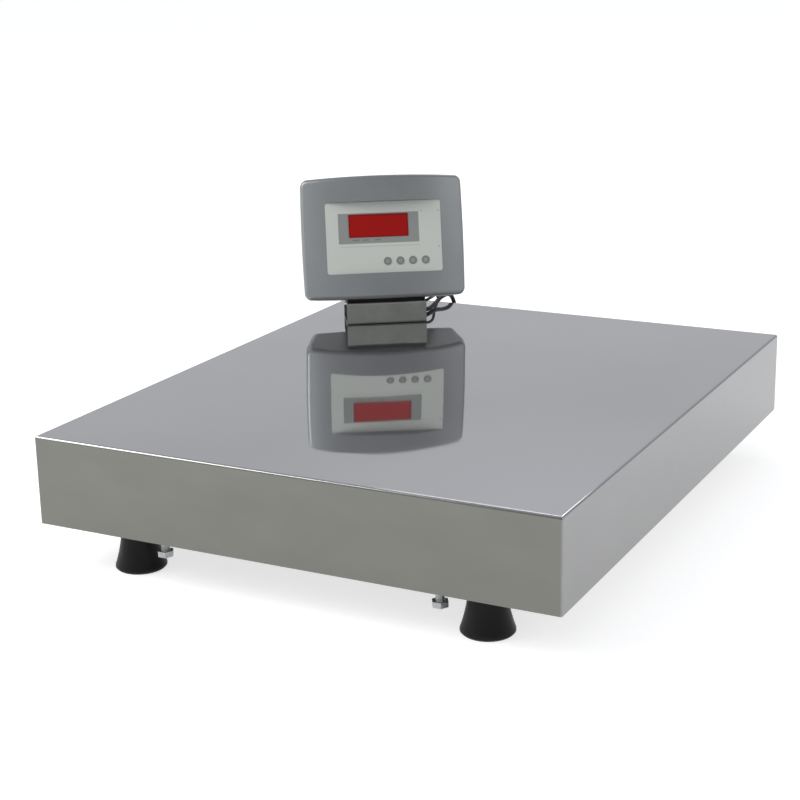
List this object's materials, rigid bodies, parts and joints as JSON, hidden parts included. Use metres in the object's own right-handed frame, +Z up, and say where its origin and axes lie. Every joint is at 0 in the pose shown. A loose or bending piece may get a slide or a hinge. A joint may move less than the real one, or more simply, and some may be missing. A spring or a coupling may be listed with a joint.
{
  "type": "platform scale",
  "caption": "Low bench platform scale: stainless platter over a tube frame with a load cell, levelling feet, and a tilted indicator on a folded stand.",
  "frame": {"origin": "on the floor under the middle of the platter, with the feet screwed fully in", "axes": "+X left to right along the platter's front edge, +Y from the front edge to the back edge, where the indicator stands, +Z up"},
  "size_m": [0.5104, 0.7012, 0.2819],
  "materials": {
    "frame_paint": "satin",
    "cap_plastic": "matt",
    "zinc_steel": "satin",
    "foot_rubber": "matt",
    "spacer_steel": "satin",
    "cell_aluminium": "satin",
    "pad_rubber": "matt",
    "cell_cable_jacket": "satin",
    "power_lead_jacket": "satin",
    "cable_rubber": "matt",
    "adapter_plastic": "matt",
    "plug_pins": "polished",
    "platter_stainless": "fine brushed",
    "stand_stainless": "satin",
    "housing_steel_look": "fine brushed",
    "panel_film": "satin",
    "window_red": "polished",
    "display_black": "matt",
    "board_green": "gloss",
    "switch_black": "matt",
    "key_rubber": "matt"
  },
  "bodies": {
    "base": {"front_foot_beam": "frame_paint", "rear_foot_beam": "frame_paint", "lower_spine": "frame_paint", "lower_beam_caps": "cap_plastic", "foot_weld_nuts": "zinc_steel", "foot_jam_nuts": "zinc_steel", "stop_bolts": "zinc_steel", "stop_jam_nuts": "zinc_steel", "stop_weld_nuts": "zinc_steel", "cell_spacer_lower": "spacer_steel", "load_cell": "cell_aluminium", "cell_spacer_upper": "spacer_steel", "cell_bolts_lower": "zinc_steel", "cell_bolts_upper": "zinc_steel", "upper_spine": "frame_paint", "upper_front_rail": "frame_paint", "upper_rear_rail": "frame_paint", "upper_rail_caps": "cap_plastic", "platter_pads": "pad_rubber", "cell_lead": "cell_cable_jacket", "cable_clips": "zinc_steel", "cell_cable_tail": "cell_cable_jacket", "cell_cable_coil": "cell_cable_jacket", "power_lead_coil": "power_lead_jacket", "power_lead_end": "power_lead_jacket", "adapter_relief": "cable_rubber", "adapter_case": "adapter_plastic", "adapter_pins": "plug_pins"},
    "platter": {"platter": "platter_stainless", "cell_cable_drop": "cell_cable_jacket", "power_lead_drop": "power_lead_jacket"},
    "stand": {"stand_bracket": "stand_stainless", "stand_screws": "zinc_steel", "stand_washers": "pad_rubber", "rear_shell": "housing_steel_look", "front_shell": "housing_steel_look", "housing_screws": "zinc_steel", "overlay_panel": "panel_film", "display_window": "window_red", "display_module": "display_black", "main_board": "board_green", "board_screws": "zinc_steel", "key_switches": "switch_black", "cable_grommets": "cable_rubber", "cell_cable_top": "cell_cable_jacket", "power_lead_top": "power_lead_jacket"},
    "key_power": {"key_power": "key_rubber"},
    "key_zero": {"key_zero": "key_rubber"},
    "key_tare": {"key_tare": "key_rubber"},
    "key_print": {"key_print": "key_rubber"},
    "foot_front_left": {"foot_rubber_front_left": "foot_rubber", "foot_stud_front_left": "zinc_steel"},
    "foot_front_right": {"foot_rubber_front_right": "foot_rubber", "foot_stud_front_right": "zinc_steel"},
    "foot_rear_left": {"foot_rubber_rear_left": "foot_rubber", "foot_stud_rear_left": "zinc_steel"},
    "foot_rear_right": {"foot_rubber_rear_right": "foot_rubber", "foot_stud_rear_right": "zinc_steel"}
  },
  "joints": [
    {"name": "platter_lift", "type": "slide", "parent": "base", "child": "platter", "axis": [0, 0, 1], "range_m": [0, 0.1]},
    {"name": "stand_lift", "type": "slide", "parent": "platter", "child": "stand", "axis": [0, 0, 1], "range_m": [0, 0.08]},
    {"name": "power_press", "type": "slide", "parent": "stand", "child": "key_power", "axis": [-0.5301, 0.8101, -0.2504], "range_m": [0, 0.0004], "stiffness_N_per_m": 3000, "springref_m": -0.0001},
    {"name": "zero_press", "type": "slide", "parent": "stand", "child": "key_zero", "axis": [-0.5301, 0.8101, -0.2504], "range_m": [0, 0.0004], "stiffness_N_per_m": 3000, "springref_m": -0.0001},
    {"name": "tare_press", "type": "slide", "parent": "stand", "child": "key_tare", "axis": [-0.5301, 0.8101, -0.2504], "range_m": [0, 0.0004], "stiffness_N_per_m": 3000, "springref_m": -0.0001},
    {"name": "print_press", "type": "slide", "parent": "stand", "child": "key_print", "axis": [-0.5301, 0.8101, -0.2504], "range_m": [0, 0.0004], "stiffness_N_per_m": 3000, "springref_m": -0.0001},
    {"name": "foot_front_left_height", "type": "slide", "parent": "base", "child": "foot_front_left", "axis": [0, 0, -1], "range_m": [0, 0.01]},
    {"name": "foot_front_right_height", "type": "slide", "parent": "base", "child": "foot_front_right", "axis": [0, 0, -1], "range_m": [0, 0.01]},
    {"name": "foot_rear_left_height", "type": "slide", "parent": "base", "child": "foot_rear_left", "axis": [0, 0, -1], "range_m": [0, 0.01]},
    {"name": "foot_rear_right_height", "type": "slide", "parent": "base", "child": "foot_rear_right", "axis": [0, 0, -1], "range_m": [0, 0.01]}
  ]
}
